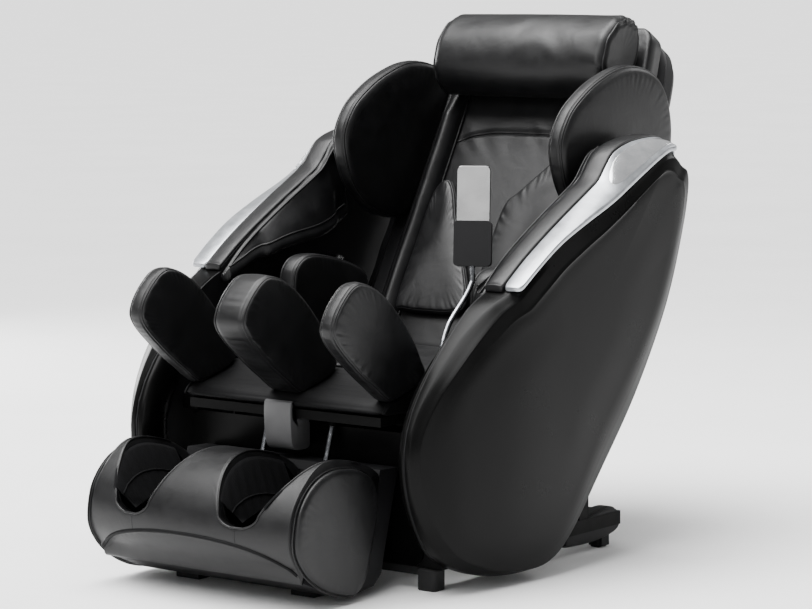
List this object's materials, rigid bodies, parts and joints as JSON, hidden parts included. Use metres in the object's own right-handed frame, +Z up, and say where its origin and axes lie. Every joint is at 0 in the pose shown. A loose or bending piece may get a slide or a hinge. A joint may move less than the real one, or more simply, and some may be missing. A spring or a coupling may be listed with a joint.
{
  "type": "massage chair",
  "caption": "Black reclining massage chair with egg-shaped side panels, shoulder wings, calf fins, a foot unit with two wells and a handset on a stalk.",
  "frame": {"origin": "centre of the footprint, on the floor", "axes": "+Z up, the sitter faces -Y, +X is the sitter's left"},
  "size_m": [0.92, 1.4624, 1.1575],
  "materials": {
    "black_leather": "smooth soft synthetic leather with fine grain, satin sheen, dark piping",
    "black_fabric": "matt black knitted lining",
    "satin_black_plastic": "satin moulded shell, very fine grain",
    "matte_black_plastic": "matt moulded plastic",
    "grey_plastic": "grey moulded plastic",
    "gloss_black_plastic": "glossy black plastic",
    "silver_trim": "silver painted trim, satin",
    "chrome": "polished",
    "black_steel": "black powder coat",
    "black_rubber": "matt"
  },
  "bodies": {
    "base": {"base_frame": "black_steel", "seat_cushion": "black_leather", "thigh_pad_left": "black_leather", "thigh_pad_right": "black_leather", "side_panel_left": "satin_black_plastic", "side_panel_right": "satin_black_plastic", "side_liner_left": "matte_black_plastic", "side_liner_right": "matte_black_plastic", "armrest_trim_left": "silver_trim", "armrest_trim_right": "silver_trim", "arm_pad_upper_left": "black_leather", "arm_pad_upper_right": "black_leather", "arm_pad_lower_left": "black_leather", "arm_pad_lower_right": "black_leather", "front_cover": "satin_black_plastic", "rear_foot_left": "matte_black_plastic", "rear_foot_right": "matte_black_plastic", "front_foot_bar": "black_rubber", "control_box": "matte_black_plastic", "air_pump": "matte_black_plastic", "recline_actuator": "matte_black_plastic", "legrest_actuator": "matte_black_plastic", "remote_stalk": "chrome"},
    "backrest": {"back_frame": "black_steel", "back_shell": "matte_black_plastic", "back_pad": "black_leather", "lumbar_flap_left": "black_leather", "lumbar_flap_right": "black_leather", "wing_left": "black_leather", "wing_right": "black_leather", "pillow": "black_leather"},
    "legrest": {"calf_frame": "black_steel", "calf_pad": "black_leather", "calf_fin_left": "black_leather", "calf_fin_centre": "black_leather", "calf_fin_right": "black_leather", "slide_cover": "grey_plastic", "slide_rod_left": "chrome", "slide_rod_right": "chrome"},
    "foot_unit": {"foot_base": "matte_black_plastic", "foot_bolster": "black_leather", "foot_liner_left": "black_fabric", "foot_liner_right": "black_fabric"},
    "carriage": {"carriage": "black_steel"},
    "screw": {"lead_screw": "black_steel"},
    "kneader": {"kneading_shaft": "black_steel"},
    "tapper_left": {"massage_arm_left": "matte_black_plastic"},
    "tapper_right": {"massage_arm_right": "matte_black_plastic"},
    "roller_left": {"massage_roller_left": "black_rubber"},
    "roller_right": {"massage_roller_right": "black_rubber"},
    "sole_roller": {"sole_roller": "chrome"},
    "recline_drive": {"recline_ram": "black_steel"},
    "legrest_drive": {"legrest_ram": "black_steel"},
    "rocker": {"power_switch": "gloss_black_plastic"},
    "holder": {"remote_holder": "matte_black_plastic"},
    "handset": {"remote": "gloss_black_plastic"},
    "key_power": {"remote_power_key": "grey_plastic"},
    "key_up": {"remote_up_key": "grey_plastic"},
    "key_down": {"remote_down_key": "grey_plastic"}
  },
  "joints": [
    {"name": "recline", "type": "hinge", "parent": "base", "child": "backrest", "pos_m": [0, 0.18563, 0.335], "axis": [-1, 0, 0], "range_deg": [0, 45]},
    {"name": "legrest_lift", "type": "hinge", "parent": "base", "child": "legrest", "pos_m": [0, -0.25437, 0.33], "axis": [-1, 0, 0], "range_deg": [0, 45]},
    {"name": "foot_extension", "type": "slide", "parent": "legrest", "child": "foot_unit", "axis": [0, -0.2924, -0.9563], "range_m": [0, 0.12]},
    {"name": "carriage_travel", "type": "slide", "parent": "backrest", "child": "carriage", "axis": [0, 0.4924, 0.8704], "range_m": [0, 0.4]},
    {"name": "screw_turn", "type": "hinge", "parent": "backrest", "child": "screw", "pos_m": [0, 0.48985, 0.62763], "axis": [0, 0.4924, 0.8704], "continuous": true},
    {"name": "knead", "type": "hinge", "parent": "carriage", "child": "kneader", "pos_m": [0, 0.36872, 0.50084], "axis": [1, 0, 0], "continuous": true},
    {"name": "tap_left", "type": "hinge", "parent": "carriage", "child": "tapper_left", "pos_m": [0, 0.36872, 0.50084], "axis": [1, 0, 0], "range_deg": [-6, 6]},
    {"name": "roller_spin_left", "type": "hinge", "parent": "tapper_left", "child": "roller_left", "pos_m": [0, 0.39629, 0.54958], "axis": [1, 0, 0], "continuous": true},
    {"name": "tap_right", "type": "hinge", "parent": "carriage", "child": "tapper_right", "pos_m": [0, 0.36872, 0.50084], "axis": [1, 0, 0], "range_deg": [-6, 6]},
    {"name": "roller_spin_right", "type": "hinge", "parent": "tapper_right", "child": "roller_right", "pos_m": [0, 0.39629, 0.54958], "axis": [1, 0, 0], "continuous": true},
    {"name": "sole_roller_spin", "type": "hinge", "parent": "foot_unit", "child": "sole_roller", "pos_m": [0, -0.58437, 0.0965], "axis": [1, 0, 0], "continuous": true},
    {"name": "recline_ram_stroke", "type": "slide", "parent": "base", "child": "recline_drive", "axis": [0, -1, 0], "range_m": [0, 0.10715]},
    {"name": "legrest_ram_stroke", "type": "slide", "parent": "base", "child": "legrest_drive", "axis": [0, -1, 0], "range_m": [0, 0.07654]},
    {"name": "power_rocker", "type": "hinge", "parent": "base", "child": "rocker", "pos_m": [0.191, 0.31563, 0.1033], "axis": [1, 0, 0], "range_deg": [0, 10]},
    {"name": "holder_swivel", "type": "hinge", "parent": "base", "child": "holder", "pos_m": [0.2895, -0.13937, 0.678], "axis": [-0.0696, 0.1205, 0.9903], "range_deg": [-20, 20]},
    {"name": "handset_lift", "type": "slide", "parent": "holder", "child": "handset", "axis": [-0.0696, 0.1205, 0.9903], "range_m": [0, 0.066]},
    {"name": "power_press", "type": "slide", "parent": "handset", "child": "key_power", "axis": [0.4951, -0.8576, 0.1392], "range_m": [0, 0.0015], "stiffness_N_per_m": 200, "springref_m": -0.0005},
    {"name": "up_press", "type": "slide", "parent": "handset", "child": "key_up", "axis": [0.4951, -0.8576, 0.1392], "range_m": [0, 0.0015], "stiffness_N_per_m": 200, "springref_m": -0.0005},
    {"name": "down_press", "type": "slide", "parent": "handset", "child": "key_down", "axis": [0.4951, -0.8576, 0.1392], "range_m": [0, 0.0015], "stiffness_N_per_m": 200, "springref_m": -0.0005}
  ],
  "couplings": [
    {"joint": "foot_extension", "follows": "legrest_lift", "m_per_rad": 0.15269},
    {"joint": "screw_turn", "follows": "carriage_travel", "rad_per_m": 314.16},
    {"joint": "recline_ram_stroke", "follows": "recline", "m_per_rad": 0.13642},
    {"joint": "legrest_ram_stroke", "follows": "legrest_lift", "m_per_rad": 0.09744}
  ]
}
